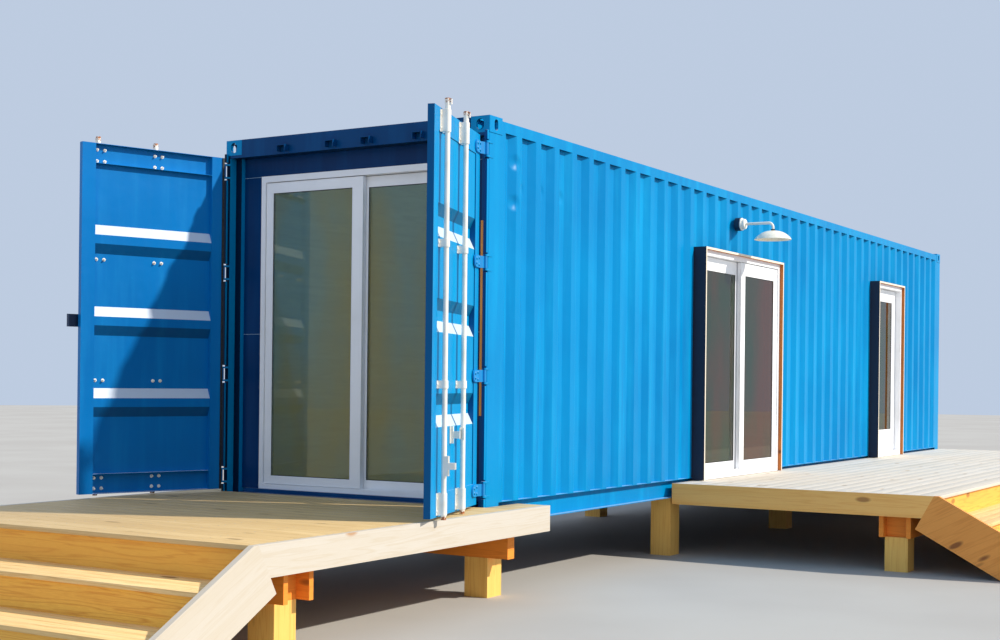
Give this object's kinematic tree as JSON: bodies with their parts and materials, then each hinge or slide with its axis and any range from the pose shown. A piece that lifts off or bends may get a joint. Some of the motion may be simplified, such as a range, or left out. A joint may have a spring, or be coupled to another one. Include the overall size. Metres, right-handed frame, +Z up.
{
  "type": "shipping container cabin",
  "caption": "Shipping container made into a cabin on timber posts, with open cargo doors, glazed doors, a wall lamp, and front and side decks with stairs.",
  "frame": {"origin": "middle of the footprint's bounding box, on the ground", "axes": "+Z up, +Y along the container from its cargo-door end to its rear wall, +X to the side with the side deck"},
  "size_m": [6.3114, 16.0818, 3.396],
  "materials": {
    "blue_paint": "satin paint",
    "navy_paint": "satin paint",
    "galvanised_steel": "galvanised",
    "white_vinyl": "smooth",
    "clear_glass": "clear",
    "honey_pine": "oiled",
    "pale_pine": "sealed",
    "treated_pine": "treated",
    "birch_lining": "sealed",
    "floor_plywood": "sealed",
    "brass": "satin"
  },
  "bodies": {
    "cabin": {"bottom_side_rails": "blue_paint", "casting_bearings": "galvanised_steel", "ceiling_lining": "birch_lining", "corner_castings": "blue_paint", "corner_posts": "blue_paint", "deck_beams": "treated_pine", "deck_boards": "honey_pine", "deck_fascia": "pale_pine", "deck_joists": "treated_pine", "end_rails": "blue_paint", "fixed_glass": "clear_glass", "fixed_sash": "white_vinyl", "floor": "floor_plywood", "floor_cross_members": "blue_paint", "front_door_frame": "white_vinyl", "front_infill": "navy_paint", "jamb_batten": "honey_pine", "lamp_bracket": "galvanised_steel", "lamp_shade": "galvanised_steel", "left_wall": "blue_paint", "narrow_door_frame": "white_vinyl", "narrow_surround": "blue_paint", "rear_wall": "blue_paint", "right_wall_front": "blue_paint", "right_wall_middle": "blue_paint", "right_wall_over_doors": "blue_paint", "right_wall_rear": "blue_paint", "rod_keepers": "blue_paint", "roof": "blue_paint", "stair_cheeks": "pale_pine", "stair_risers": "honey_pine", "stair_treads": "honey_pine", "support_posts": "treated_pine", "top_side_rails": "blue_paint", "wall_lining": "birch_lining", "wide_door_frame": "white_vinyl", "wide_surround": "blue_paint"},
    "left_cargo_door": {"left_cargo_door_frame": "blue_paint", "left_cargo_door_panel": "blue_paint", "left_cargo_door_fittings": "blue_paint"},
    "right_cargo_door": {"right_cargo_door_frame": "blue_paint", "right_cargo_door_panel": "blue_paint", "right_cargo_door_fittings": "blue_paint"},
    "left_inner_rod": {"left_inner_rod": "galvanised_steel"},
    "left_outer_rod": {"left_outer_rod": "galvanised_steel"},
    "right_inner_rod": {"right_inner_rod": "galvanised_steel"},
    "right_outer_rod": {"right_outer_rod": "galvanised_steel"},
    "front_sliding_panel": {"front_door_sliding_sash": "white_vinyl", "front_door_sliding_glass": "clear_glass"},
    "wide_sliding_panel": {"wide_door_sliding_sash": "white_vinyl", "wide_door_sliding_glass": "clear_glass"},
    "narrow_door": {"narrow_door_leaf": "white_vinyl", "narrow_door_glass": "clear_glass", "narrow_door_fittings": "brass"}
  },
  "joints": [
    {"name": "right_cargo_door_hinge", "type": "hinge", "parent": "cabin", "child": "right_cargo_door", "pos_m": [-0.31215, -4.1771, 1.942], "axis": [0, 0, 1], "range_deg": [-108, 152]},
    {"name": "left_cargo_door_hinge", "type": "hinge", "parent": "cabin", "child": "left_cargo_door", "pos_m": [-2.73615, -4.1771, 1.942], "axis": [0, 0, -1], "range_deg": [-109, 151]},
    {"name": "right_inner_rod_turn", "type": "hinge", "parent": "right_cargo_door", "child": "right_inner_rod", "pos_m": [-0.12978, -4.7319, 1.98], "axis": [0, 0, 1], "range_deg": [-85, 85]},
    {"name": "right_outer_rod_turn", "type": "hinge", "parent": "right_cargo_door", "child": "right_outer_rod", "pos_m": [0.01298, -5.17128, 1.98], "axis": [0, 0, 1], "range_deg": [-85, 85]},
    {"name": "left_inner_rod_turn", "type": "hinge", "parent": "left_cargo_door", "child": "left_inner_rod", "pos_m": [-2.92817, -4.72863, 1.98], "axis": [0, 0, 1], "range_deg": [-85, 85]},
    {"name": "left_outer_rod_turn", "type": "hinge", "parent": "left_cargo_door", "child": "left_outer_rod", "pos_m": [-3.07859, -5.16546, 1.98], "axis": [0, 0, 1], "range_deg": [-85, 85]},
    {"name": "front_panel_slide", "type": "slide", "parent": "cabin", "child": "front_sliding_panel", "axis": [-1, 0, 0], "range_m": [0, 0.8]},
    {"name": "wide_panel_slide", "type": "slide", "parent": "cabin", "child": "wide_sliding_panel", "axis": [0, 1, 0], "range_m": [0, 0.8]},
    {"name": "narrow_door_hinge", "type": "hinge", "parent": "cabin", "child": "narrow_door", "pos_m": [-0.34715, 5.8004, 1.73], "axis": [0, 0, -1], "range_deg": [0, 90]}
  ]
}
